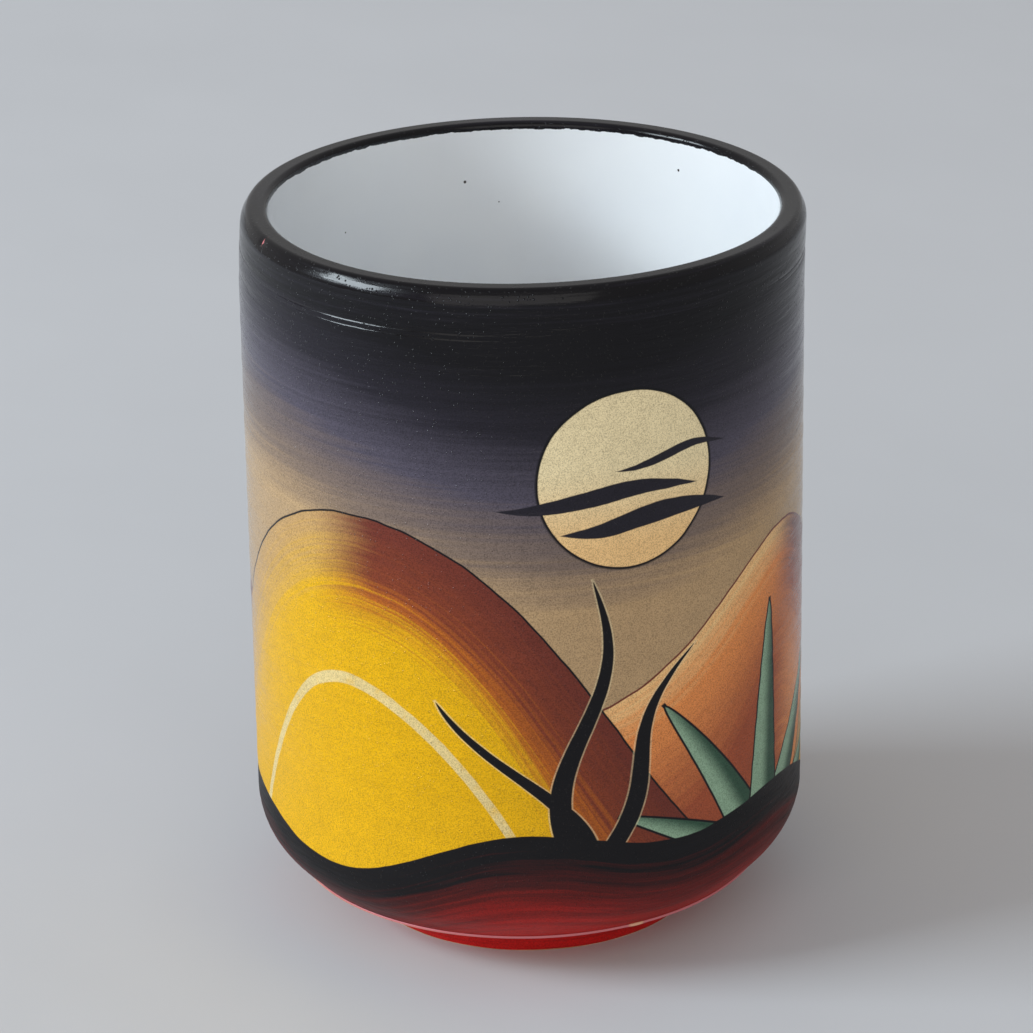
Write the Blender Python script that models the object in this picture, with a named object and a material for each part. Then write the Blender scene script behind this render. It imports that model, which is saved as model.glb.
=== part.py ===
"""Pottery mug with no handle: painted outside, white glazed inside, on a separate foot ring.

Run with blender --background --python part.py. Sizes are in metres and +Z is up.
The origin is the middle of the foot's underside, where the mug stands on the table.
"""

from math import ceil, cos, hypot, pi, radians, sin, tan

import bmesh
import bpy

MM = 0.001

# Overall sizes of the finished mug
HEIGHT = 108.5 * MM
BODY_DIAMETER = 82.0 * MM
WALL_THICKNESS = 3.85 * MM  # from the painted face to the white face
FLOOR_THICKNESS = 5.6 * MM  # from the underside to the white face

# Base, lip and inside corner
BASE_INSET = 6.0 * MM  # how far the base edge lies in from the side
BASE_SLOPE = radians(44)  # of the base where it meets its edge, from upright
BASE_CURVE_RADIUS = 11.0 * MM  # between the side and the sloping base
LIP_OUTER_RADIUS = 2.4 * MM  # or what the wall leaves beside the inner one
LIP_INNER_RADIUS = 0.9 * MM
FLOOR_CORNER_RADIUS = 12.0 * MM

# Foot ring, and the tongue that sits in the groove under the floor
FOOT_HEIGHT = 7.3 * MM  # from the table to the underside of the body
FOOT_DIAMETER = 50.6 * MM  # where it stands on the table
FOOT_FLARE = 1.8 * MM  # how much further out the foot is at its top
FOOT_WIDTH = 4.6 * MM
TONGUE_WIDTH = 2.4 * MM
TONGUE_HEIGHT = 1.6 * MM
SLIP_THICKNESS = 0.7 * MM

# Coats, and the clay that they leave bare
COAT_THICKNESS = 0.4 * MM
LIP_BAND_DEPTH = 5.5 * MM  # on the outside, below the top of the lip
WHITE_LINE_DEPTH = 0.9 * MM  # on the inside, below the top of the lip
BARE_EDGE = 0.6 * MM  # along the base edge
BARE_TOE = 0.6 * MM  # along the foot's standing edge

# Gap between pieces that are bonded to each other
CLEARANCE = 0.3 * MM

# Facets
SEGMENTS = 64
ARC_STEP = radians(22.5)
SHARP_ANGLE = radians(40)
SAME_POINT = 1e-7

# Sizes that follow from those above
BODY_RADIUS = BODY_DIAMETER / 2
INNER_RADIUS = BODY_RADIUS - WALL_THICKNESS
FLOOR_TOP = FOOT_HEIGHT + FLOOR_THICKNESS
SET_BACK = COAT_THICKNESS + CLEARANCE  # of the clay behind a coat's face
FOOT_RADIUS = FOOT_DIAMETER / 2
FOOT_TOP = FOOT_HEIGHT - CLEARANCE
FOOT_INNER_RADIUS = FOOT_RADIUS - FOOT_WIDTH
TONGUE_RADIUS = (FOOT_INNER_RADIUS + FOOT_RADIUS + FOOT_FLARE - SET_BACK) / 2
TONGUE_INNER_RADIUS = TONGUE_RADIUS - TONGUE_WIDTH / 2
TONGUE_OUTER_RADIUS = TONGUE_RADIUS + TONGUE_WIDTH / 2
TONGUE_TOP = FOOT_TOP + TONGUE_HEIGHT
SLIP_TOP = TONGUE_TOP + CLEARANCE + SLIP_THICKNESS


def arc(centre, radius, start, end):
    """Points (r, z) along an arc, both ends included."""
    steps = max(2, ceil(abs(end - start) / ARC_STEP))
    angles = [start + (end - start) * i / steps for i in range(steps + 1)]
    return [(centre[0] + radius * cos(a), centre[1] + radius * sin(a)) for a in angles]


def joined(*stretches):
    """One line through all the stretches, without points that repeat the one before."""
    line = []
    for r, z in (point for stretch in stretches for point in stretch):
        if not line or hypot(r - line[-1][0], z - line[-1][1]) > SAME_POINT:
            line.append((r, z))
    return line


def offset(line, distance):
    """The line moved to its left as it runs, with mitred corners."""
    normals = []
    for (r0, z0), (r1, z1) in zip(line, line[1:]):
        length = hypot(r1 - r0, z1 - z0)
        normals.append(((z0 - z1) / length, (r1 - r0) / length))
    moved = []
    for (r, z), (ar, az), (br, bz) in zip(line, normals[:1] + normals, normals + normals[-1:]):
        reach = distance / (1 + ar * br + az * bz)
        moved.append((r + (ar + br) * reach, z + (az + bz) * reach))
    return moved


def trimmed(line, length):
    """The line without the given length at its start."""
    for i, ((r0, z0), (r1, z1)) in enumerate(zip(line, line[1:])):
        step = hypot(r1 - r0, z1 - z0)
        if step > length:
            share = length / step
            return [(r0 + (r1 - r0) * share, z0 + (z1 - z0) * share), *line[i + 1 :]]
        length -= step
    return line[-1:]


def skin(line):
    """Closed outline of a coat whose face is the line."""
    return line + offset(line, COAT_THICKNESS)[::-1]


# Faces of the finished mug. They run up the outside, over the lip and down the inside,
# so that the clay is always on their left.


def outside_face():
    """From the base edge, up the sloping base, the curve and the side, to just below the lip band."""
    curve_inset = BASE_CURVE_RADIUS * (1 - cos(BASE_SLOPE))
    slope_height = (BASE_INSET - curve_inset) / tan(BASE_SLOPE)
    curve_low = FOOT_HEIGHT + slope_height
    edge = (BODY_RADIUS - BASE_INSET, FOOT_HEIGHT)
    centre = (BODY_RADIUS - BASE_CURVE_RADIUS, curve_low + BASE_CURVE_RADIUS * sin(BASE_SLOPE))
    top = (BODY_RADIUS, HEIGHT - LIP_BAND_DEPTH - CLEARANCE)
    return joined([edge], arc(centre, BASE_CURVE_RADIUS, -BASE_SLOPE, 0), [top])


def lip_face():
    """From the lip band's lower edge, over the lip, to the line where the white glaze starts."""
    outer_radius = min(LIP_OUTER_RADIUS, WALL_THICKNESS - LIP_INNER_RADIUS)
    outer_centre = (BODY_RADIUS - outer_radius, HEIGHT - outer_radius)
    inner_centre = (INNER_RADIUS + LIP_INNER_RADIUS, HEIGHT - LIP_INNER_RADIUS)
    return joined(
        [(BODY_RADIUS, HEIGHT - LIP_BAND_DEPTH)],
        arc(outer_centre, outer_radius, 0, pi / 2),
        arc(inner_centre, LIP_INNER_RADIUS, pi / 2, pi),
        [(INNER_RADIUS, HEIGHT - WHITE_LINE_DEPTH)],
    )


def inside_face():
    """From just below the lip band's inner edge, down the wall, to the middle of the floor."""
    centre = (INNER_RADIUS - FLOOR_CORNER_RADIUS, FLOOR_TOP + FLOOR_CORNER_RADIUS)
    return joined(
        [(INNER_RADIUS, HEIGHT - WHITE_LINE_DEPTH - CLEARANCE)],
        arc(centre, FLOOR_CORNER_RADIUS, 0, -pi / 2),
        [(0, FLOOR_TOP)],
    )


def foot_face_radius(z):
    """Radius of the foot's finished outer face at a height above the table."""
    return FOOT_RADIUS + FOOT_FLARE * z / FOOT_TOP


# Outlines of the pieces, as (r, z) points to be turned about the axis


def clay_body():
    """Cup of clay, set back behind its coats, with bare clay along the base edge."""
    outside = outside_face()
    coated = trimmed(outside, BARE_EDGE)
    groove_inner = TONGUE_INNER_RADIUS - CLEARANCE
    groove_outer = TONGUE_OUTER_RADIUS + CLEARANCE
    groove_roof = SLIP_TOP + CLEARANCE
    underside = [
        (0, FOOT_HEIGHT),
        (groove_inner, FOOT_HEIGHT),
        (groove_inner, groove_roof),
        (groove_outer, groove_roof),
        (groove_outer, FOOT_HEIGHT),
    ]
    bare_edge = [outside[0], coated[0]]
    return underside + bare_edge + offset(joined(coated, lip_face(), inside_face()), SET_BACK)


def painted_coat():
    """Coat on the outside, clear of the bare clay at the base edge."""
    return skin(trimmed(outside_face(), BARE_EDGE + CLEARANCE))


def lip_band():
    """Coat over the lip."""
    return skin(lip_face())


def glaze_lining():
    """Coat on the inside wall and floor."""
    return skin(inside_face())


def foot_ring():
    """Ring that the mug stands on, with its tongue, set back behind its coat above the toe."""
    return [
        (FOOT_INNER_RADIUS, 0),
        (FOOT_RADIUS, 0),
        (foot_face_radius(BARE_TOE), BARE_TOE),
        (foot_face_radius(BARE_TOE) - SET_BACK, BARE_TOE),
        (foot_face_radius(FOOT_TOP) - SET_BACK, FOOT_TOP),
        (TONGUE_OUTER_RADIUS, FOOT_TOP),
        (TONGUE_OUTER_RADIUS, TONGUE_TOP),
        (TONGUE_INNER_RADIUS, TONGUE_TOP),
        (TONGUE_INNER_RADIUS, FOOT_TOP),
        (FOOT_INNER_RADIUS, FOOT_TOP),
    ]


def foot_coat():
    """Coat on the foot's outer face, standing on the bare toe."""
    low = BARE_TOE + CLEARANCE
    return [
        (foot_face_radius(low), low),
        (foot_face_radius(FOOT_TOP), FOOT_TOP),
        (foot_face_radius(FOOT_TOP) - COAT_THICKNESS, FOOT_TOP),
        (foot_face_radius(low) - COAT_THICKNESS, low),
    ]


def slip_seam():
    """Ring of slip between the tongue and the roof of the groove."""
    low = TONGUE_TOP + CLEARANCE
    return [
        (TONGUE_INNER_RADIUS, low),
        (TONGUE_OUTER_RADIUS, low),
        (TONGUE_OUTER_RADIUS, SLIP_TOP),
        (TONGUE_INNER_RADIUS, SLIP_TOP),
    ]


def finish(name, colour, roughness):
    """Plain material of one colour."""
    material = bpy.data.materials.new(name)
    material.use_nodes = True
    shader = material.node_tree.nodes["Principled BSDF"]
    shader.inputs["Base Color"].default_value = (*colour, 1)
    shader.inputs["Roughness"].default_value = roughness
    shader.inputs["Metallic"].default_value = 0
    return material


def turned(name, outline, material, parent):
    """Solid made by turning an outline about the Z axis.

    An outline that starts and ends on the axis gets no line along it.
    """
    mesh = bpy.data.meshes.new(name)
    shape = bmesh.new()
    points = [shape.verts.new((r, 0, z)) for r, z in outline]
    on_axis = outline[0][0] == 0 and outline[-1][0] == 0
    following = points[1:] if on_axis else points[1:] + points[:1]
    lines = [shape.edges.new(pair) for pair in zip(points, following)]
    bmesh.ops.spin(
        shape,
        geom=points + lines,
        cent=(0, 0, 0),
        axis=(0, 0, 1),
        angle=2 * pi,
        steps=SEGMENTS,
        use_merge=True,
    )
    bmesh.ops.remove_doubles(shape, verts=shape.verts, dist=SAME_POINT)
    bmesh.ops.recalc_face_normals(shape, faces=shape.faces)
    shape.to_mesh(mesh)
    shape.free()
    mesh.shade_smooth()
    mesh.set_sharp_from_angle(angle=SHARP_ANGLE)
    mesh.materials.append(material)
    solid = bpy.data.objects.new(name, mesh)
    solid.parent = parent
    bpy.context.collection.objects.link(solid)
    return solid


def main():
    for old in list(bpy.data.objects):
        bpy.data.objects.remove(old)
    mug = bpy.data.objects.new("mug", None)
    bpy.context.collection.objects.link(mug)

    clay = finish("bare_clay", (0.62, 0.36, 0.22), 0.8)
    slip = finish("fired_slip", (0.66, 0.42, 0.28), 0.8)
    white = finish("white_glaze", (0.86, 0.86, 0.87), 0.1)
    paint = finish("painted_sand", (0.60, 0.42, 0.16), 0.3)
    black = finish("black_lip", (0.014, 0.012, 0.016), 0.28)
    red = finish("red_foot", (0.42, 0.014, 0.012), 0.35)

    turned("clay_body", clay_body(), clay, mug)
    turned("foot_ring", foot_ring(), clay, mug)
    turned("slip_seam", slip_seam(), slip, mug)
    turned("glaze_lining", glaze_lining(), white, mug)
    turned("painted_coat", painted_coat(), paint, mug)
    turned("lip_band", lip_band(), black, mug)
    turned("foot_coat", foot_coat(), red, mug)


main()
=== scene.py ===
"""Looks of the hand-painted pottery mug: finely turned clay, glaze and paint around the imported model.

Outlines are in millimetres, as (r, z) points that are turned about the mug's axis.
Angles go round the axis from the front, and are positive towards the right as seen from there.
"""

from math import ceil, cos, hypot, pi, radians, sin, tan

import bmesh
import bpy
import numpy as np
from mathutils import Matrix, Vector


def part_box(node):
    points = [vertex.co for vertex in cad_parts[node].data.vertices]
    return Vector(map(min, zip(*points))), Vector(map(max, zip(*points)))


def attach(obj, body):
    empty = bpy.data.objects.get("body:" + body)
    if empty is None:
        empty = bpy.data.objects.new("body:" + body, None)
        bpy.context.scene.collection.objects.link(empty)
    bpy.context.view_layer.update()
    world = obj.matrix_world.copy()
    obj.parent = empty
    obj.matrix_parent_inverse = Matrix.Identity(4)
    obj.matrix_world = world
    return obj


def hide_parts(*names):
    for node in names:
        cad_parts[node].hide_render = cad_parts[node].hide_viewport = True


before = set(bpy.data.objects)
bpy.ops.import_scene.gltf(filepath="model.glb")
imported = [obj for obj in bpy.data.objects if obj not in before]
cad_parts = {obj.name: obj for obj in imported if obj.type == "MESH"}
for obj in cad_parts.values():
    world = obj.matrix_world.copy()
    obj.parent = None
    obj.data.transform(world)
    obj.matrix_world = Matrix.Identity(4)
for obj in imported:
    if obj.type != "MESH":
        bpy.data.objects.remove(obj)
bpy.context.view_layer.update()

MM = 0.001
BODY = "root"


def box_mm(node):
    """Lowest and highest corner of a CAD node, in millimetres."""
    return [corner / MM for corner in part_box(node)]


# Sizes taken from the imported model
BODY_RADIUS = box_mm("painted_coat")[1].x
HEIGHT = box_mm("lip_band")[1].z
LIP_BAND_LOW = box_mm("lip_band")[0].z
LINING_RADIUS = box_mm("glaze_lining")[1].x
LINING_LOW = box_mm("glaze_lining")[0].z
UNDERSIDE = box_mm("clay_body")[0].z
FOOT_TOP = box_mm("foot_coat")[1].z
FOOT_TOP_RADIUS = box_mm("foot_coat")[1].x
TONGUE_TOP = box_mm("foot_ring")[1].z
TONGUE_OUTER_RADIUS = box_mm("slip_seam")[1].x
SLIP_TOP = box_mm("slip_seam")[1].z

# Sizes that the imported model's boxes don't give
COAT = 0.4
FOOT_FLARE = 1.8
FOOT_WIDTH = 4.6
TONGUE_WIDTH = 2.4
CLEARANCE = 0.3
BASE_INSET = 6.0
BASE_SLOPE = radians(44)
BASE_CURVE_RADIUS = 11.0
LIP_INNER_RADIUS = 0.9
FLOOR_CORNER_RADIUS = 12.0
WHITE_LINE_DEPTH = 0.9

# Small shapes that only the visible meshes have. A bend is a radius and the angle it turns to
BARE_EDGE = 0.42
BEAD_RADIUS = 0.26
BEAD_OUT = 0.2
BEAD_UP = 0.16
BARE_TOE = 0.15
TOE_ROUNDING = 0.12
SHOULDER_BENDS = (2.5, radians(24)), (6.5, radians(33)), (0.9, pi / 2)
SHOULDER_REACH = 2.4

# Where the lip leans to the right and tapers, and where the base tilts
LIP_LEAN = 0.5
LIP_TAPER = 0.2
LEAN_HEIGHT = 94.0
BASE_TILT = 0.01
TILT_RADII = (FOOT_TOP_RADIUS + 1, FOOT_TOP_RADIUS + 6)
TILT_HEIGHTS = (25.0, 13.0)

# Unevenness: each wave has a height, its times round the mug and per millimetre up, and a phase
ROUND_WAVES = (0.14, 2, 0, 0.5), (0.07, 3, 0, 1.9)
LIP_WAVES = (0.13, 2, 0, 1.0), (0.08, 3, 0, 0.3)
RING_WAVES = (0.020, 1, 1.2, 0), (0.014, -2, 2.1, 1.0)
RIDGE_WAVES = ((0.007, 9, 2.0, 0),)
EDGE_WAVES = ((0.05, 11, 0, 0),)
TOE_WAVES = (0.04, 7, 0, 0.6), (0.03, 13, 0, 0)
SWIRL_HEIGHT = 0.005
SWIRL_PER_MM = 5.0
SWIRL_SWAY = 3
TOE_REACH = 0.4

# Turned lines under the lip, each a height and the phase at which it comes and goes
TURNED_LINES = (HEIGHT - 6.3, 3.4), (HEIGHT - 7.1, 3.1)
TURNED_DEPTH = 0.09
TURNED_WIDTH = 0.13

# A nick in the lip and a chip in the base edge
NICK_ANGLE = radians(-66.5)
NICK_HEIGHT = HEIGHT - 0.72
NICK_DEPTH = 0.2
NICK_REACH = (0.4, 0.5)
NICK_BARE = 0.22
CHIP_ANGLE = radians(25.5)
CHIP_SWELL = 0.3
CHIP_REACH = 1.2
EDGE_REACH = 0.5

# Fineness of the visible meshes, and the hair of room between bonded pieces
SEGMENTS = 360
FACE_STEP = 0.6
FINE_STEP = 0.12
LINE_STEP = 0.05
LINE_ROOM = 0.8
INSIDE_STEP = 1.2
HIDDEN_STEP = 5.0
ROUNDING_STEP = radians(6)
SHARP_ANGLE = radians(50)
HAIR = 0.012
SAME_POINT = 1e-4

# Flat map for the bake: room that hidden faces take on it, and its margin
HIDDEN_SHARE = 0.04
MAP_MARGIN = 0.012

# Sizes that follow from those above
INNER_RADIUS = LINING_RADIUS - COAT
FLOOR_TOP = LINING_LOW + COAT
FOOT_RADIUS = FOOT_TOP_RADIUS - FOOT_FLARE
FOOT_INNER_RADIUS = FOOT_RADIUS - FOOT_WIDTH
BASE_EDGE_RADIUS = BODY_RADIUS - BASE_INSET
TONGUE_INNER_RADIUS = TONGUE_OUTER_RADIUS - TONGUE_WIDTH
SET_BACK = COAT + HAIR
WHITE_LINE = HEIGHT - WHITE_LINE_DEPTH


# Outlines


def arc(centre, radius, start, end):
    """Points along an arc, both ends included."""
    steps = ceil(abs(end - start) / ROUNDING_STEP)
    angles = np.linspace(start, end, steps + 1)
    return [(centre[0] + radius * cos(a), centre[1] + radius * sin(a)) for a in angles]


def bends(line, turns):
    """The line carried on, from pointing up, by arcs that follow each other smoothly."""
    angle = 0
    for radius, end in turns:
        centre = (line[-1][0] - radius * cos(angle), line[-1][1] - radius * sin(angle))
        line = joined(line, arc(centre, radius, angle, end))
        angle = end
    return line


def joined(*stretches):
    """One line through all the stretches, without points that repeat the one before."""
    line = []
    for r, z in (point for stretch in stretches for point in stretch):
        if not line or hypot(r - line[-1][0], z - line[-1][1]) > SAME_POINT:
            line.append((r, z))
    return line


def offset(line, distance):
    """The line moved to its left as it runs, with mitred corners."""
    normals = []
    for (r0, z0), (r1, z1) in zip(line, line[1:]):
        length = hypot(r1 - r0, z1 - z0)
        normals.append(((z0 - z1) / length, (r1 - r0) / length))
    moved = []
    for (r, z), (ar, az), (br, bz) in zip(line, normals[:1] + normals, normals + normals[-1:]):
        reach = distance / (1 + ar * br + az * bz)
        moved.append((r + (ar + br) * reach, z + (az + bz) * reach))
    return moved


def trimmed(line, length):
    """The line without the given length at its start."""
    for i, ((r0, z0), (r1, z1)) in enumerate(zip(line, line[1:])):
        step = hypot(r1 - r0, z1 - z0)
        if step > length:
            share = length / step
            return [(r0 + (r1 - r0) * share, z0 + (z1 - z0) * share), *line[i + 1 :]]
        length -= step
    return line[-1:]


def dense(line, step):
    """The line with points added, so that none is further than a step from the next."""
    points = [line[0]]
    for (r0, z0), (r1, z1) in zip(line, line[1:]):
        parts = max(1, ceil(hypot(r1 - r0, z1 - z0) / step))
        points += [(r0 + (r1 - r0) * i / parts, z0 + (z1 - z0) * i / parts) for i in range(1, parts + 1)]
    return points


def outside_face():
    """From the base edge, up the sloping base, the curve and the side, to just below the lip band."""
    curve_inset = BASE_CURVE_RADIUS * (1 - cos(BASE_SLOPE))
    curve_low = UNDERSIDE + (BASE_INSET - curve_inset) / tan(BASE_SLOPE)
    edge = (BASE_EDGE_RADIUS, UNDERSIDE)
    centre = (BODY_RADIUS - BASE_CURVE_RADIUS, curve_low + BASE_CURVE_RADIUS * sin(BASE_SLOPE))
    top = (BODY_RADIUS, LIP_BAND_LOW - HAIR)
    return joined([edge], arc(centre, BASE_CURVE_RADIUS, -BASE_SLOPE, 0), [top])


def lip_face():
    """From the lip band's lower edge, over the lip, to the line where the white glaze starts."""
    shoulder = bends([(0, 0)], SHOULDER_BENDS)
    low = HEIGHT - shoulder[-1][1]
    inner_centre = (INNER_RADIUS + LIP_INNER_RADIUS, HEIGHT - LIP_INNER_RADIUS)
    return joined(
        [(BODY_RADIUS, LIP_BAND_LOW)],
        [(BODY_RADIUS + r, low + z) for r, z in shoulder],
        arc(inner_centre, LIP_INNER_RADIUS, pi / 2, pi),
        [(INNER_RADIUS, WHITE_LINE)],
    )


def inside_face():
    """From the white line, down the wall, to the middle of the floor."""
    centre = (INNER_RADIUS - FLOOR_CORNER_RADIUS, FLOOR_TOP + FLOOR_CORNER_RADIUS)
    return joined(
        [(INNER_RADIUS, WHITE_LINE - HAIR)],
        arc(centre, FLOOR_CORNER_RADIUS, 0, -pi / 2),
        [(0, FLOOR_TOP)],
    )


def foot_face_radius(z):
    """Radius of the foot's finished outer face at a height above the table."""
    return FOOT_RADIUS + FOOT_FLARE * z / FOOT_TOP


# Marks of the hand on the turned shapes. Each function moves points (r, z) at an angle.


def dip(distance, width):
    """1 at the middle of a small round mark, fading to 0 over its width."""
    return np.exp(-((distance / width) ** 2))


def climb(low, high, value):
    """0 at low, 1 at high, and a straight climb between them."""
    return np.clip((value - low) / (high - low), 0, 1)


def waves(parts, angle, z=0):
    """Sum of the waves at an angle and a height."""
    return sum(high * np.sin(times * angle + up * z + phase) for high, times, up, phase in parts)


def turn_from(place, angle):
    """Angle from a place on the mug, the short way round."""
    return (angle - place + pi) % (2 * pi) - pi


def handmade(r, z, angle):
    """A little out of round, with a lip that wavers and leans and a base edge that isn't quite level."""
    up = climb(0, HEIGHT, z)
    out = climb(0, BODY_RADIUS, r)
    lean = (LIP_LEAN * np.sin(angle) - LIP_TAPER) * climb(LEAN_HEIGHT, HEIGHT, z) ** 2
    tilt = BASE_TILT * r * np.sin(angle) * climb(*TILT_RADII, r) * climb(*TILT_HEIGHTS, z)
    return r + waves(ROUND_WAVES, angle) * up * out + lean, z + waves(LIP_WAVES, angle) * up**6 + tilt


def wall_marks(r, z, angle):
    """Throwing rings on the outside, and two fine turned lines under the lip."""
    rings = waves(RING_WAVES, angle, z)
    for height, phase in TURNED_LINES:
        pressed = np.clip(0.1 + np.sin(3 * angle + phase), 0, 1)
        rings = rings - TURNED_DEPTH * dip(z - height, TURNED_WIDTH) * pressed
    return r + rings * (r > BODY_RADIUS - COAT / 2), z


def lip_marks(r, z, angle):
    """Brush ridges over the lip's shoulder, and one small nick."""
    swirl = SWIRL_HEIGHT * np.sin(z * SWIRL_PER_MM + SWIRL_SWAY * np.sin(2 * angle))
    ridges = swirl + waves(RIDGE_WAVES, angle, z)
    across = turn_from(NICK_ANGLE, angle) * BODY_RADIUS
    nick = NICK_DEPTH * dip(across, NICK_REACH[0]) * dip(z - NICK_HEIGHT, NICK_REACH[1])
    outside = r > BODY_RADIUS - SHOULDER_REACH
    return r + (ridges - nick) * outside, z - nick * outside


def bead_marks(r, z, angle):
    """The bare edge swells where a chip of glaze is missing."""
    at_edge = dip(r - BASE_EDGE_RADIUS, EDGE_REACH) * dip(z - UNDERSIDE, EDGE_REACH)
    across = turn_from(CHIP_ANGLE, angle) * BASE_EDGE_RADIUS
    return r + (waves(EDGE_WAVES, angle) + CHIP_SWELL * dip(across, CHIP_REACH)) * at_edge, z


def foot_marks(r, z, angle):
    """Unsteady lower edge of the red paint."""
    return r, z + waves(TOE_WAVES, angle) * dip(z - BARE_TOE, TOE_REACH)


# Turned meshes


def flat_map(outline, visible, rows):
    """Places of each face's corners on a flat map, the front half of the turn above the back half."""
    steps = np.hypot(*np.diff(np.vstack([outline, outline[:1]]), axis=0).T)
    steps[visible - 1 :] *= HIDDEN_SHARE
    along = np.concatenate([[0], np.cumsum(steps[:rows])]) / steps[:rows].sum()
    half = SEGMENTS // 2
    turn = (np.arange(SEGMENTS) + half // 2) % SEGMENTS
    low = np.where(turn < half, 0.5, 0.0)
    left = (turn % half) / half
    row, column = np.meshgrid(np.arange(rows), np.arange(SEGMENTS), indexing="ij")
    places = []
    for up, right in ((0, 0), (0, 1), (1, 1), (1, 0)):
        u = MAP_MARGIN + (left[column] + right / half) * (1 - 2 * MAP_MARGIN)
        v = low[column] + MAP_MARGIN + along[row + up] * (0.5 - 2 * MAP_MARGIN)
        places.append(np.stack([u, v], axis=-1))
    return np.stack(places, axis=2).ravel()


def turned(name, visible, hidden, marks=None):
    """Closed mesh turned from a visible stretch of outline and the hidden one that closes it."""
    outline = np.array(visible + hidden)
    on_axis = outline[0][0] == 0 and outline[-1][0] == 0
    rows = len(outline) - 1 if on_axis else len(outline)
    angle = np.tile(np.arange(SEGMENTS) * 2 * pi / SEGMENTS, (len(outline), 1))
    r, z = (np.tile(outline[:, i : i + 1], (1, SEGMENTS)) for i in (0, 1))
    if marks:
        r, z = marks(r, z, angle)
    r, z = handmade(r, z, angle)
    points = np.stack([r * np.sin(angle), -r * np.cos(angle), z], axis=-1).reshape(-1, 3) * MM

    row, column = np.meshgrid(np.arange(rows), np.arange(SEGMENTS), indexing="ij")
    above, after = (row + 1) % len(outline), (column + 1) % SEGMENTS
    corners = (row, column), (row, after), (above, after), (above, column)
    faces = np.stack([i * SEGMENTS + j for i, j in corners], axis=-1).reshape(-1, 4)

    mesh = bpy.data.meshes.new(name)
    mesh.from_pydata(points.tolist(), [], faces.tolist())
    mesh.uv_layers.new(name="OFBake").data.foreach_set("uv", flat_map(outline, len(visible), rows))
    shape = bmesh.new()
    shape.from_mesh(mesh)
    poles = [v for v in shape.verts if hypot(v.co.x, v.co.y) < SAME_POINT * MM]
    bmesh.ops.remove_doubles(shape, verts=poles, dist=SAME_POINT * MM)
    bmesh.ops.recalc_face_normals(shape, faces=shape.faces)
    shape.to_mesh(mesh)
    shape.free()
    mesh.shade_smooth()
    mesh.set_sharp_from_angle(angle=SHARP_ANGLE)
    piece = bpy.data.objects.new(name, mesh)
    bpy.context.collection.objects.link(piece)
    return piece


def stand_for(piece, node, material):
    """The piece takes the place of a CAD node and the finish of a slot."""
    piece.data.materials.append(material)
    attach(piece, BODY)
    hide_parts(node)


# Node boards: arithmetic on signals lays down the nodes of a material


class Signal:
    """A value that comes out of a node."""

    def __init__(self, board, socket):
        self.board = board
        self.socket = socket

    def __add__(self, other):
        return self.board.math("ADD", self, other)

    def __sub__(self, other):
        return self.board.math("SUBTRACT", self, other)

    def __rsub__(self, other):
        return self.board.math("SUBTRACT", other, self)

    def __mul__(self, other):
        return self.board.math("MULTIPLY", self, other)

    def __truediv__(self, other):
        return self.board.math("DIVIDE", self, other)

    def __pow__(self, other):
        return self.board.math("POWER", self, other)

    def __neg__(self):
        return self * -1

    def __abs__(self):
        return self.board.math("ABSOLUTE", self)

    def spread(self, reach):
        """A noise from 0 to 1, moved to lie about 0 and widened."""
        return (self - 0.5) * reach

    __radd__ = __add__
    __rmul__ = __mul__


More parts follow.
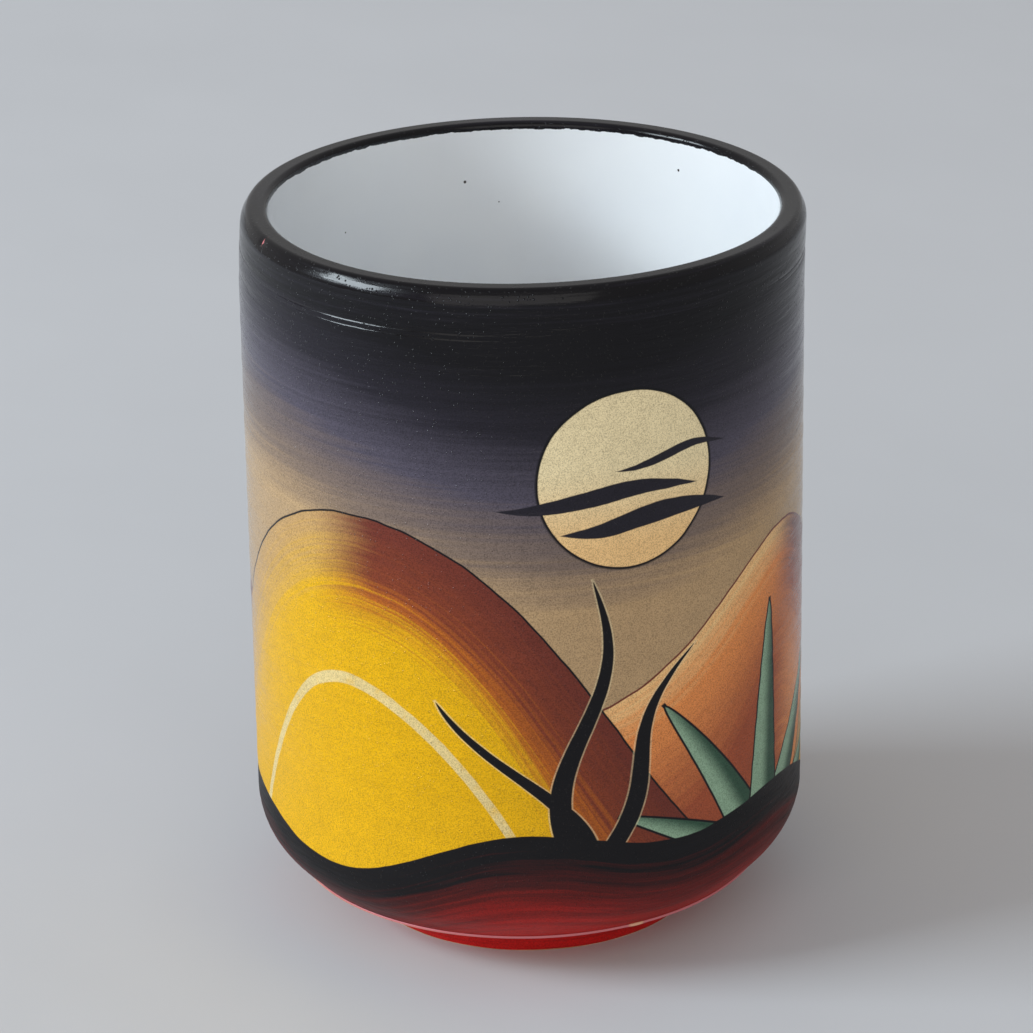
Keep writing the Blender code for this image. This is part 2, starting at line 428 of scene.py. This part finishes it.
class Board:
    """The nodes of one material, with the place of each point on the mug in millimetres."""

    def __init__(self, name):
        self.material = bpy.data.materials.new(name)
        self.material.use_nodes = True
        self.tree = self.material.node_tree
        self.shader = self.tree.nodes["Principled BSDF"]
        place = self.put("ShaderNodeTexCoord", {}).outputs["Object"]
        scaled = self.put("ShaderNodeVectorMath", {0: place, "Scale": 1 / MM}, operation="SCALE")
        self.point = Signal(self, scaled.outputs[0])
        split = self.put("ShaderNodeSeparateXYZ", {0: self.point})
        self.x, self.y, self.z = (Signal(self, split.outputs[i]) for i in range(3))
        self.angle = self.math("ARCTAN2", self.x, -self.y)

    def put(self, kind, inputs, **settings):
        """A node with these settings, its inputs joined to signals or set to values."""
        node = self.tree.nodes.new(kind)
        for key, value in settings.items():
            setattr(node, key, value)
        for key, value in inputs.items():
            value = value.socket if isinstance(value, Signal) else value
            if isinstance(value, bpy.types.NodeSocket):
                self.tree.links.new(value, node.inputs[key])
            else:
                node.inputs[key].default_value = value
        return node

    def math(self, operation, *values):
        node = self.put("ShaderNodeMath", dict(enumerate(values)), operation=operation)
        return Signal(self, node.outputs[0])

    def sine(self, value, times=1, phase=0):
        return self.math("SINE", self.math("MULTIPLY_ADD", value, times, phase))

    def length(self, a, b):
        """Length of the line from the origin to (a, b)."""
        return self.math("SQRT", a * a + b * b)

    def rise(self, low, high, value, smooth=True):
        """0 at low, 1 at high, and between them a soft or a straight climb."""
        kind = "SMOOTHSTEP" if smooth else "LINEAR"
        inputs = {"Value": value, "From Min": low, "From Max": high}
        return Signal(self, self.put("ShaderNodeMapRange", inputs, interpolation_type=kind).outputs[0])

    def blend(self, share, under, over):
        """The colour over laid on the colour under."""
        colours = [c if isinstance(c, Signal) else (*c, 1) for c in (under, over)]
        node = self.put("ShaderNodeMix", {0: share, 6: colours[0], 7: colours[1]}, data_type="RGBA")
        return Signal(self, node.outputs[2])

    def cover(self, depth, under, over, softness=0.09):
        """The colour over laid where the depth inside a shape is positive."""
        return self.blend(self.rise(-softness, softness, depth), under, over)

    def shade(self, colour, share):
        """The colour made darker or lighter."""
        node = self.put("ShaderNodeVectorMath", {0: colour, "Scale": share}, operation="SCALE")
        return Signal(self, node.outputs[0])

    def ramp(self, value, *stops):
        node = self.put("ShaderNodeValToRGB", {0: value})
        elements = node.color_ramp.elements
        while len(elements) < len(stops):
            elements.new(1)
        for element, (place, colour) in zip(elements, stops):
            element.position = place
            element.color = (*colour, 1)
        return Signal(self, node.outputs[0])

    def noise(self, vector, scale, detail=2, roughness=0.5):
        inputs = {"Vector": vector, "Scale": scale, "Detail": detail, "Roughness": roughness}
        return Signal(self, self.put("ShaderNodeTexNoise", inputs).outputs[0])

    def streaks(self, across, length, fineness):
        """Brush streaks along the lines on which a distance stays the same."""
        inputs = {0: self.x / length, 1: self.y / length, 2: across * fineness}
        vector = self.put("ShaderNodeCombineXYZ", inputs).outputs[0]
        return self.noise(vector, 1.0, detail=3, roughness=0.6)

    def cells(self, scale):
        """Distance from the middle of the nearest of many scattered cells."""
        node = self.put("ShaderNodeTexVoronoi", {"Vector": self.point, "Scale": scale})
        return Signal(self, node.outputs["Distance"])

    def round_from(self, angle, repeats=1):
        """Distance round the body from an angle, starting again for each repeat."""
        half = pi / repeats
        return self.math("WRAP", self.angle - angle, half, -half) * BODY_RADIUS

    def finish(self, colour, roughness, height, gloss):
        """Joins colour, roughness and a surface height in millimetres to the shader."""
        bump = self.put("ShaderNodeBump", {"Height": height, "Distance": MM, "Strength": 1.0})
        links = {"Base Color": colour.socket, "Roughness": roughness.socket, "Normal": bump.outputs[0]}
        for key, socket in links.items():
            self.tree.links.new(socket, self.shader.inputs[key])
        self.shader.inputs["Specular IOR Level"].default_value = gloss
        return self.material


def paint(red, green, blue):
    """A colour given as screen values from 0 to 255."""
    parts = (c / 255 for c in (red, green, blue))
    return tuple(c / 12.92 if c <= 0.04045 else ((c + 0.055) / 1.055) ** 2.4 for c in parts)


BLACK = paint(7, 5, 9)
NIGHT = paint(30, 27, 36)
DUSK = paint(76, 71, 84)
HAZE = paint(122, 104, 92)
SAND = paint(176, 146, 108)
CREAM = paint(232, 214, 170)
STRAW = paint(216, 192, 132)
GOLD = paint(218, 166, 0)
AMBER = paint(172, 92, 26)
TAN = paint(186, 148, 96)
RUST = paint(124, 56, 32)
MAROON = paint(106, 46, 34)
TERRACOTTA = paint(156, 76, 46)
ORANGE = paint(224, 140, 76)
APRICOT = paint(234, 192, 132)
OXBLOOD = paint(80, 16, 13)
LOW_RED = paint(176, 26, 18)
DEEP_RED = paint(140, 20, 18)
RED = paint(194, 24, 22)
SAGE = paint(140, 170, 142)
DARK_SAGE = paint(46, 78, 60)
WHITE = paint(236, 238, 239)
COOL_WHITE = paint(228, 231, 235)
PINHOLE = paint(60, 50, 44)
CLAY = paint(196, 140, 100)
PALE_CLAY = paint(226, 178, 150)
DARK_CLAY = paint(140, 92, 62)
ROSE_CLAY = paint(195, 112, 117)

VARNISH_GLOSS = 0.25
GLAZE_GLOSS = 0.5
CLAY_GLOSS = 0.3


# The landscape painted round the body: heights and lengths in millimetres, angles in radians

SKY_HEIGHTS = (67, 103)
SKY_SWELL = 6.5
SKY_STOPS = (0.0, SAND), (0.2, HAZE), (0.46, DUSK), (0.74, NIGHT), (1.0, BLACK)

SUN_ANGLE = 0.36
SUN_HEIGHT = 80
SUN_RADIUS = 13.0
SUN_OUTLINE = 0.4
SUN_FADE = (3, -11)

# Wisps of cloud: height and middle from the centre of the sun, half length and half width
WISPS = (-2.6, -4, 15, 1.3), (-6.4, 3, 13, 1.5), (2.4, 7, 9, 0.7)

MOON_ANGLE = 2.9
MOON_HEIGHT = 84
MOON_RADIUS = 9.0
MOON_BITE_RADIUS = 7.6
MOON_BITE_SHIFT = 3.6

FAR_HILLS = {"base": 42, "rise": 23, "crest": 1.12, "times": 2, "skew": 0.5, "power": 1.2}
GOLDEN_HILLS = {"base": 18, "rise": 55, "crest": -0.62, "times": 2, "skew": -0.35, "power": 1.3}
FAR_FADE = (0, 21)
FAR_LIT_STOPS = (0, APRICOT), (0.3, ORANGE), (1, TERRACOTTA)
FAR_SHADED_STOPS = (0, MAROON), (0.45, TERRACOTTA), (1, ORANGE)
GOLDEN_FADE = (1, 24)
GOLDEN_STOPS = (0.0, MAROON), (0.3, RUST), (0.48, AMBER), (0.68, GOLD)
TAN_FADE = (0, 14)
HILL_OUTLINE = 0.3
CONTOUR_DEPTH = 26
CONTOUR_HALF_WIDTH = 0.95

# Leaves and reeds grow in clumps, so many times round the mug
CLUMPS = 2

# A clump of leaves, each leaf by its lean, bend, length and width
LEAVES_ANGLE = 0.98
LEAVES_LOW = 14
LEAVES = (
    (-0.95, -4, 30, 6.5),
    (0.95, 4, 28, 6.5),
    (-0.5, -3, 36, 8),
    (0.55, 3, 34, 8),
    (0.02, 1, 40, 8.5),
)
LEAF_TAPER = 0.7
LEAF_OUTLINE = 0.35

# A clump of reeds, each reed by its lean, bend, sway, length and width
REEDS_ANGLE = 0.2
REEDS_LOW = 19
REEDS = (-0.42, -6, 3.0, 33, 3.4), (-0.08, 5, -3.2, 46, 3.8), (0.3, 8, 3.0, 38, 3.4)
REED_TAPER = 0.6

# The bank's outline: its height, and waves with a height, their times round the mug and a phase
BANK_HEIGHT = 22
BANK_WAVES = (3.5, 2, 0.7), (2.4, 5, 2.0)
BANK_FADE = (4, 17)
BANK_STOPS = (0, BLACK), (0.35, OXBLOOD), (1, LOW_RED)


def hill_line(board, angle, base, rise, crest, times, skew, power):
    """Height of a rolling outline that comes back to itself once round the mug."""
    turn = (angle - crest) * times
    turn = turn + board.sine(turn) * skew
    bump = board.math("COSINE", turn) * 0.5 + 0.5
    return (bump**power) * rise + base


def hill(board, wobble, **shape):
    """Depth of a point under a hill's outline, and how the outline slopes there."""
    ahead = 0.02
    line = hill_line(board, board.angle, **shape)
    slope = (hill_line(board, board.angle + ahead, **shape) - line) / (ahead * BODY_RADIUS)
    return (line - board.z + wobble) / board.length(slope, 1), slope


def blade(board, across, up, lean, bend, length, width, power):
    """Depth of a point inside a tapering blade, and how far it is to the right of its middle."""
    along = across * sin(lean) + up * cos(lean)
    part = along / length
    side = across * cos(lean) - up * sin(lean) - part * part * bend
    taper = board.math("MAXIMUM", 1 - part, 0) ** power
    ends = board.math("MINIMUM", along, length - along) * 0.5
    return board.math("MINIMUM", taper * (width / 2) - abs(side), ends), side


def paint_sky(board):
    """From black at the top to sand at the hills, brushed round and round."""
    brush = board.streaks(board.z, length=66, fineness=1.3)
    swell = board.sine(board.angle, times=2, phase=1.17) * SKY_SWELL
    glow = board.z + swell + brush.spread(7)
    return board.ramp(board.rise(*SKY_HEIGHTS, glow, smooth=False), *SKY_STOPS)


def paint_sun(board, colour, wobble):
    """Pale sun, warmer below, crossed by wisps of cloud."""
    across = board.round_from(SUN_ANGLE)
    up = board.z - SUN_HEIGHT
    reach = board.length(across, up) + wobble * 0.2
    disc = board.blend(board.rise(*SUN_FADE, up), CREAM, APRICOT)
    colour = board.cover(SUN_RADIUS + SUN_OUTLINE - reach, colour, BLACK, softness=0.2)
    colour = board.cover(SUN_RADIUS - reach, colour, disc)
    for height, middle, length, width in WISPS:
        part = (across - middle) / length
        bow = up - height - board.sine(part, times=2.4, phase=0.6) * 1.1 + wobble * 0.4
        colour = board.cover((1 - part * part) * width - abs(bow), colour, NIGHT)
    return colour


def paint_moon(board, colour, wobble):
    """Thin moon on the back."""
    across = board.round_from(MOON_ANGLE)
    up = board.z - MOON_HEIGHT
    outer = board.length(across, up) + wobble * 0.2
    inner = board.length(across - MOON_BITE_SHIFT, up) + wobble * 0.2
    crescent = board.math("MINIMUM", MOON_RADIUS - outer, inner - MOON_BITE_RADIUS)
    return board.cover(crescent, colour, CREAM)


def paint_far_hills(board, colour, wobble):
    """Orange hills, pale along the top of one side and dark along the other."""
    depth, slope = hill(board, wobble * 0.5, **FAR_HILLS)
    brush = board.streaks(depth, length=33, fineness=1.1)
    down = board.rise(*FAR_FADE, depth + brush.spread(9), smooth=False)
    lit = board.ramp(down, *FAR_LIT_STOPS)
    shaded = board.ramp(down, *FAR_SHADED_STOPS)
    side = board.rise(-0.5, 0.3, slope + brush.spread(0.5))
    colour = board.cover(depth + HILL_OUTLINE, colour, MAROON)
    return board.cover(depth, colour, board.blend(side, shaded, lit))


def paint_golden_hills(board, colour, wobble):
    """Golden hills with a brushed maroon side, a tan side and a straw contour."""
    depth, slope = hill(board, wobble * 0.5, **GOLDEN_HILLS)
    brush = board.streaks(depth, length=45, fineness=1.5)
    shade = depth + brush.spread(12)
    dark = board.ramp(board.rise(*GOLDEN_FADE, shade, smooth=False), *GOLDEN_STOPS)
    light = board.blend(board.rise(*TAN_FADE, shade), TAN, GOLD)
    body = board.blend(board.rise(-0.15, 0.35, slope + brush.spread(0.3)), dark, light)
    wave = board.sine(board.angle, times=7, phase=1.0) * 1.1
    contour = CONTOUR_HALF_WIDTH - abs(depth - CONTOUR_DEPTH + wave)
    thin = board.rise(0.2, 0.5, board.noise(board.point, 0.5, detail=4)) * 0.5 + 0.5
    body = board.blend(board.rise(-0.1, 0.1, contour) * thin, body, STRAW)
    colour = board.cover(depth + HILL_OUTLINE, colour, BLACK)
    return board.cover(depth, colour, body)


def paint_leaves(board, colour):
    """Clumps of pointed sage leaves, each with a dark half."""
    across = board.round_from(LEAVES_ANGLE, CLUMPS)
    up = board.z - LEAVES_LOW
    for leaf in LEAVES:
        inside, side = blade(board, across, up, *leaf, LEAF_TAPER)
        colour = board.cover(inside + LEAF_OUTLINE, colour, BLACK)
        colour = board.cover(inside, colour, board.blend(board.rise(-1.2, 1.6, side), SAGE, DARK_SAGE))
    return colour


def paint_reeds(board, colour):
    """Clumps of black reeds that sway, with a hair of bare ground beside them."""
    across = board.round_from(REEDS_ANGLE, CLUMPS)
    up = board.z - REEDS_LOW
    inside = -1
    for lean, bend, sway, length, width in REEDS:
        swayed = across - board.sine(up, 2 * pi / length) * sway
        reed, _ = blade(board, swayed, up, lean, bend, length, width, REED_TAPER)
        inside = board.math("MAXIMUM", inside, reed)
    colour = board.blend(board.rise(-0.3, -0.15, inside) * 0.4, colour, CREAM)
    return board.cover(inside, colour, BLACK)


def paint_foreground(board, colour, wobble):
    """Black bank in waves, brushed into red towards the base."""
    edge = BANK_HEIGHT
    for high, times, phase in BANK_WAVES:
        edge = board.sine(board.angle, times, phase) * high + edge
    depth = edge - board.z + wobble * 0.4
    brush = board.streaks(depth, length=33, fineness=0.9)
    down = board.rise(*BANK_FADE, depth + brush.spread(12), smooth=False)
    return board.cover(depth, colour, board.ramp(down, *BANK_STOPS))


# Materials

# Paint under the varnish: how far sandy specks and clouds change its lightness
SPECK_LIGHT = 1.13
SPECK_DARK = 0.4
CLOUD_LIGHT = 0.2

# Varnish: heights of what shows in its surface, where brush ridges start and end, and where it is dull
BROAD_RIDGE = 0.12
FINE_RIDGE = 0.04
GRAIN_HEIGHT = 0.09
SAND_HEIGHT = 0.004
RIDGES_FROM = (10, 45)
RIDGES_TO = (HEIGHT + 1, HEIGHT - 6)
DULL_HEIGHTS = (45, 14)
DULL_ROUGHNESS = 0.38

# White glaze: pinholes, each an angle in degrees, a height and a radius, and the ragged paint above it
PINHOLES = (-167, 99.4, 0.3), (140, 103.2, 0.26), (-135, 94.9, 0.16), (-175, 95.9, 0.14)
PINHOLE_DEPTH = 0.1
RAGGED_REACH = 0.75
RAGGED_LOW = 0.2
GLAZE_WAVES = 0.05

# Clay: reach of the rosy base edge, the chip that isn't rosy, and heights of grain and turning lines
ROSY_REACH = (0.9, 0.5)
ROSY_LOW = 0.3
CHIP_BARE = (1.6, 1.0)
CLAY_GRAIN = 0.06
CLAY_LINES = 0.02


def varnished(board, colour):
    """Sandy specks in the paint, and a varnish with brush ridges and grains, duller towards the base."""
    sand = board.noise(board.point, 5.2, detail=1, roughness=0.6)
    cloud = board.noise(board.point, 0.35, detail=4)
    colour = board.shade(colour, SPECK_LIGHT - board.rise(0.38, 0.7, sand) * SPECK_DARK)
    colour = board.shade(colour, cloud.spread(CLOUD_LIGHT) + 1)
    broad = board.streaks(board.z, length=9, fineness=0.9)
    fine = board.streaks(board.z, length=5, fineness=2.4)
    sparse = board.rise(0.46, 0.58, board.noise(board.point, 1.1, detail=1))
    grains = board.rise(0.32, 0.0, board.cells(1.9)) * sparse
    ridged = board.rise(*RIDGES_FROM, board.z) * board.rise(*RIDGES_TO, board.z)
    ridges = (broad * BROAD_RIDGE + fine * FINE_RIDGE) * ridged
    height = ridges + grains * GRAIN_HEIGHT + sand * SAND_HEIGHT
    dull = board.rise(*DULL_HEIGHTS, board.z) * DULL_ROUGHNESS
    roughness = board.rise(0.35, 0.65, fine, smooth=False) * 0.1 + cloud * 0.06 + 0.07 + dull
    return board.finish(colour, roughness, height, VARNISH_GLOSS)


def painted_glaze():
    """Landscape painted round the body under a varnish."""
    board = Board("painted_glaze")
    wobble = board.noise(board.point, 0.16, detail=3).spread(1.4)
    colour = paint_sky(board)
    colour = paint_sun(board, colour, wobble)
    colour = paint_moon(board, colour, wobble)
    colour = paint_far_hills(board, colour, wobble)
    colour = paint_golden_hills(board, colour, wobble)
    colour = paint_leaves(board, colour)
    colour = paint_reeds(board, colour)
    colour = paint_foreground(board, colour, wobble)
    return varnished(board, colour)


def black_glaze():
    """Black paint over the lip, with one bare nick."""
    board = Board("black_glaze")
    brush = board.streaks(board.z, length=33, fineness=1.6)
    colour = board.blend(board.rise(0.45, 0.85, brush), BLACK, NIGHT)
    across = board.round_from(NICK_ANGLE)
    up = board.z - NICK_HEIGHT
    ragged = board.noise(board.point, 3.0).spread(0.6)
    colour = board.cover(NICK_BARE - board.length(across, up * 0.6) + ragged, colour, ROSE_CLAY)
    return varnished(board, colour)


def white_glaze():
    """Glossy white glaze with pinholes, and the ragged edge of the black paint above it."""
    board = Board("white_glaze")
    cloud = board.noise(board.point, 0.08, detail=3)
    colour = board.blend(cloud, WHITE, COOL_WHITE)
    hollow = 0
    for angle, height, radius in PINHOLES:
        reach = board.length(board.round_from(radians(angle)), board.z - height)
        hole = board.rise(radius, radius / 2, reach)
        colour = board.blend(hole, colour, PINHOLE)
        hollow = hole + hollow
    ragged = board.noise(board.point, 0.6, detail=3) * RAGGED_REACH
    depth = board.z + ragged - WHITE_LINE - RAGGED_LOW
    colour = board.cover(depth, colour, BLACK, softness=0.04)
    height = board.noise(board.point, 0.12, detail=2) * GLAZE_WAVES - hollow * PINHOLE_DEPTH
    roughness = board.noise(board.point, 0.5, detail=2) * 0.06 + 0.06
    return board.finish(colour, roughness, height, GLAZE_GLOSS)


def red_glaze():
    """Red paint on the foot, brushed round, with painted shade along its top under the body's edge."""
    board = Board("red_glaze")
    brush = board.streaks(board.z, length=25, fineness=2.0)
    colour = board.blend(board.rise(0.45, 0.8, brush), RED, DEEP_RED)
    # Painted shade: the red darkens towards the foot's top, where the overhanging edge of the body
    # shades it.
    colour = board.blend(board.rise(FOOT_TOP - 0.9, FOOT_TOP, board.z) * 0.7, colour, DEEP_RED)
    return varnished(board, colour)


def clay():
    """Bare fired clay, grainy, with turning lines, and rosy along the base edge."""
    board = Board("clay")
    grain = board.noise(board.point, 2.6, detail=4, roughness=0.7)
    cloud = board.noise(board.point, 0.12, detail=3)
    colour = board.blend(board.rise(0.35, 0.7, cloud), CLAY, PALE_CLAY)
    colour = board.blend(board.rise(0.58, 0.7, grain) * 0.5, colour, DARK_CLAY)
    out = board.length(board.x, board.y)
    chip = board.rise(*CHIP_BARE, abs(board.round_from(CHIP_ANGLE)))
    near_edge = board.rise(*ROSY_REACH, abs(out - BASE_EDGE_RADIUS))
    rosy = near_edge * board.rise(UNDERSIDE - ROSY_LOW, UNDERSIDE, board.z) * (1 - chip)
    colour = board.blend(rosy, colour, ROSE_CLAY)
    lines = board.sine(out, times=3.1) * 0.5 + board.sine(out, times=7.3, phase=1.0) * 0.3
    height = grain * CLAY_GRAIN + lines * CLAY_LINES
    roughness = grain * 0.2 + 0.65 - rosy * 0.35
    return board.finish(colour, roughness, height, CLAY_GLOSS)


# Pieces


def make_painted_body():
    """Painted outside, with finer rows where the turned lines are."""
    face = trimmed(outside_face(), BARE_EDGE)
    low = TURNED_LINES[-1][0] - LINE_ROOM
    coarse = dense(face[:-1] + [(BODY_RADIUS, low)], FACE_STEP)
    fine = dense([(BODY_RADIUS, low), face[-1]], LINE_STEP)
    back = dense(offset(face, COAT)[::-1], HIDDEN_STEP)
    piece = turned("painted_body", joined(coarse, fine), back, wall_marks)
    stand_for(piece, "painted_coat", painted_glaze())


def make_lip():
    """Black coat over the lip."""
    face = lip_face()
    back = dense(offset(face, COAT)[::-1], HIDDEN_STEP)
    piece = turned("black_lip", dense(face, FINE_STEP), back, lip_marks)
    stand_for(piece, "lip_band", black_glaze())


def make_lining():
    """White glaze on the inside wall and floor."""
    face = inside_face()
    back = offset(face, COAT)
    back[-1] = (0, back[-1][1])
    piece = turned("white_inside", dense(face, INSIDE_STEP)[::-1], dense(back, HIDDEN_STEP))
    stand_for(piece, "glaze_lining", white_glaze())


def make_clay_cup(material):
    """Clay of the body: bare underside and a bead along the base edge, the rest behind its coats."""
    coated = trimmed(outside_face(), BARE_EDGE - HAIR)
    groove_inner = TONGUE_INNER_RADIUS - CLEARANCE
    groove_outer = TONGUE_OUTER_RADIUS + CLEARANCE
    roof = SLIP_TOP + CLEARANCE
    bead = (BASE_EDGE_RADIUS + BEAD_OUT, UNDERSIDE + BEAD_UP)
    bare = [
        (0, UNDERSIDE),
        (groove_inner, UNDERSIDE),
        (groove_inner, roof),
        (groove_outer, roof),
        (groove_outer, UNDERSIDE),
        *arc(bead, BEAD_RADIUS, -pi / 2, pi / 4),
        coated[0],
    ]
    behind = offset(joined(coated, lip_face(), inside_face()), SET_BACK)
    behind[-1] = (0, behind[-1][1])
    piece = turned("clay_cup", dense(bare, INSIDE_STEP), dense(behind, HIDDEN_STEP), bead_marks)
    stand_for(piece, "clay_body", material)


def make_clay_foot(material):
    """Foot ring, bare inside, underneath and along its rounded toe."""
    toe = foot_face_radius(BARE_TOE)
    bare = joined(
        [(FOOT_INNER_RADIUS, FOOT_TOP)],
        arc((FOOT_INNER_RADIUS + TOE_ROUNDING, TOE_ROUNDING), TOE_ROUNDING, pi, 3 * pi / 2),
        arc((FOOT_RADIUS - TOE_ROUNDING, TOE_ROUNDING), TOE_ROUNDING, -pi / 2, 0),
        [(toe, BARE_TOE)],
    )
    behind = [
        (toe - SET_BACK, BARE_TOE),
        (FOOT_TOP_RADIUS - SET_BACK, FOOT_TOP),
        (TONGUE_OUTER_RADIUS, FOOT_TOP),
        (TONGUE_OUTER_RADIUS, TONGUE_TOP),
        (TONGUE_INNER_RADIUS, TONGUE_TOP),
        (TONGUE_INNER_RADIUS, FOOT_TOP),
    ]
    piece = turned("clay_foot", dense(bare, FACE_STEP), dense(behind, HIDDEN_STEP))
    stand_for(piece, "foot_ring", material)


def make_red_foot():
    """Red coat on the foot's outer face."""
    low = BARE_TOE + HAIR
    face = [(foot_face_radius(low), low), (FOOT_TOP_RADIUS, FOOT_TOP)]
    behind = [(FOOT_TOP_RADIUS - COAT, FOOT_TOP), (foot_face_radius(low) - COAT, low)]
    piece = turned("red_foot", dense(face, FINE_STEP), dense(behind, HIDDEN_STEP), foot_marks)
    stand_for(piece, "foot_coat", red_glaze())


# Camera, light and floor

LENS = 155.2
SENSOR = 36.0
CAMERA_DISTANCE = 0.6615
CAMERA_ELEVATION = 0.393
CAMERA_PITCH = 0.3863
CAMERA_YAW = -0.0021
CAMERA_ROLL = -0.0166
MIDDLE = Vector((0, 0, HEIGHT * MM / 2))

# Lights: name, direction from the mug, distance, size, watts and colour
WINDOW_SIDE = (-0.864, -0.184, 0.469)
FRONT_SIDE = (-0.1, -0.93, 0.36)
LIGHTS = (
    ("window", WINDOW_SIDE, 2.5, (1.1, 0.7), 50, (0.82, 0.93, 1.0)),
    ("curtain", WINDOW_SIDE, 2.6, (1.9, 1.5), 5, (0.74, 0.87, 1.0)),
    ("front", FRONT_SIDE, 3.0, (3.6, 2.4), 26, (1.0, 0.97, 0.93)),
)
WORLD_STRENGTH = 0.48

FLOOR_REACH = 6.0
FLOOR_GREY = paint(197, 197, 200)
PALE_GREY = paint(203, 203, 206)


def make_camera():
    """Camera at the photograph's viewing angle."""
    data = bpy.data.cameras.new("camera")
    data.lens = LENS
    data.sensor_width = SENSOR
    camera = bpy.data.objects.new("camera", data)
    place = MIDDLE + Vector((0, -cos(CAMERA_ELEVATION), sin(CAMERA_ELEVATION))) * CAMERA_DISTANCE
    level = cos(CAMERA_PITCH)
    ahead = Vector((sin(CAMERA_YAW) * level, cos(CAMERA_YAW) * level, -sin(CAMERA_PITCH)))
    right = ahead.cross(Vector((0, 0, 1))).normalized()
    up = right.cross(ahead)
    rolled_right = right * cos(CAMERA_ROLL) + up * sin(CAMERA_ROLL)
    rolled_up = up * cos(CAMERA_ROLL) - right * sin(CAMERA_ROLL)
    axes = Matrix((rolled_right, rolled_up, -ahead)).transposed().to_4x4()
    camera.matrix_world = Matrix.Translation(place) @ axes
    bpy.context.collection.objects.link(camera)
    bpy.context.scene.camera = camera


def make_light(name, direction, distance, size, watts, colour):
    """Soft rectangular light that faces the mug."""
    lamp = bpy.data.lights.new(name, "AREA")
    lamp.shape = "RECTANGLE"
    lamp.size, lamp.size_y = size
    lamp.energy = watts
    lamp.color = colour
    light = bpy.data.objects.new(name, lamp)
    light.location = MIDDLE + Vector(direction).normalized() * distance
    light.rotation_euler = (MIDDLE - light.location).to_track_quat("-Z", "Y").to_euler()
    bpy.context.collection.objects.link(light)


def make_world():
    """Even white light from all round."""
    world = bpy.data.worlds.new("studio")
    world.use_nodes = True
    sky = world.node_tree.nodes["Background"]
    sky.inputs["Color"].default_value = (1, 1, 1, 1)
    sky.inputs["Strength"].default_value = WORLD_STRENGTH
    bpy.context.scene.world = world


def make_floor():
    """Plain pale floor."""
    mesh = bpy.data.meshes.new("floor")
    sides = (-1, -1), (1, -1), (1, 1), (-1, 1)
    corners = [(x * FLOOR_REACH, y * FLOOR_REACH, 0) for x, y in sides]
    mesh.from_pydata(corners, [], [(0, 1, 2, 3)])
    floor = bpy.data.objects.new("floor", mesh)
    bpy.context.collection.objects.link(floor)
    board = Board("floor")
    cloud = board.noise(board.point, 0.01, detail=3)
    colour = board.blend(cloud, FLOOR_GREY, PALE_GREY)
    mesh.materials.append(board.finish(colour, cloud * 0.1 + 0.75, cloud, CLAY_GLOSS))


def main():
    bpy.context.scene.view_settings.view_transform = "Standard"
    bare = clay()
    make_painted_body()
    make_lip()
    make_lining()
    make_clay_cup(bare)
    make_clay_foot(bare)
    make_red_foot()
    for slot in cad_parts["slip_seam"].material_slots:
        slot.material = bare
    make_camera()
    make_world()
    for light in LIGHTS:
        make_light(*light)
    make_floor()


main()
